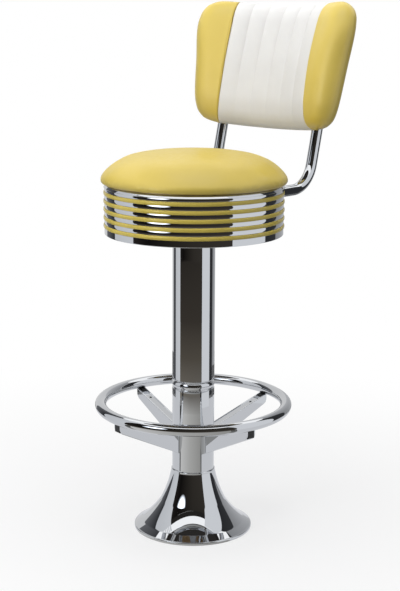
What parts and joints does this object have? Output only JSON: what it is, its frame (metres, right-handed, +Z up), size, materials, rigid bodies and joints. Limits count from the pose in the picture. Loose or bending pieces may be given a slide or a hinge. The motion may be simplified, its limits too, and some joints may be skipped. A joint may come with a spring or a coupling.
{
  "type": "counter stool",
  "caption": "Diner counter stool bolted to the floor: trumpet base, chromed column with a footring, swivelling round seat with a striped band, curved fluted back.",
  "frame": {"origin": "on the column's axis at floor level", "axes": "+Z up, -Y towards the sitter's front, +Y towards the back, +X to the sitter's left"},
  "size_m": [0.3992, 0.5132, 1.0527],
  "materials": {
    "chrome": "bright chrome plate",
    "steel": "zinc-plated steel",
    "bronze": "sintered bronze",
    "black_plastic": "moulded, matt",
    "white_vinyl": "smooth vinyl over foam",
    "yellow_vinyl": "smooth vinyl over foam",
    "yellow_strip": "extruded, glossy",
    "plywood": "bare birch plywood"
  },
  "bodies": {
    "base": {"floor_plate": "steel", "inner_post": "steel", "base_bell": "chrome", "footring_hub": "chrome", "joint_collar": "chrome", "upper_column": "chrome", "footring": "chrome", "footring_arm_1": "chrome", "footring_arm_2": "chrome", "footring_arm_3": "chrome", "footring_arm_4": "chrome", "arm_cap_1": "black_plastic", "arm_cap_2": "black_plastic", "arm_cap_3": "black_plastic", "arm_cap_4": "black_plastic", "swivel_socket": "steel", "lower_bush": "bronze", "upper_bush": "bronze", "lower_race": "steel", "bearing_balls": "steel", "bearing_cage": "black_plastic"},
    "seat": {"seat_band": "chrome", "back_tube_left": "chrome", "back_tube_right": "chrome", "upper_race": "steel", "swivel_spindle": "steel", "spindle_washer": "steel", "spindle_nut": "steel", "seat_plate": "steel", "plate_screws": "steel", "band_ring": "steel", "band_screws": "steel", "tube_straps": "steel", "strap_screws": "steel", "back_screws": "steel", "tube_plugs": "black_plastic", "back_centre_pad": "white_vinyl", "seat_cushion": "yellow_vinyl", "back_wing_left": "yellow_vinyl", "back_wing_right": "yellow_vinyl", "back_rear_pad": "yellow_vinyl", "band_stripe_1": "yellow_strip", "band_stripe_2": "yellow_strip", "band_stripe_3": "yellow_strip", "band_stripe_4": "yellow_strip", "band_stripe_5": "yellow_strip", "band_stripe_5_rear": "yellow_strip", "seat_board": "plywood", "back_board": "plywood"}
  },
  "joints": [
    {"name": "seat_swivel", "type": "hinge", "parent": "base", "child": "seat", "pos_m": [0, 0, 0.68], "axis": [0, 0, 1], "continuous": true}
  ]
}
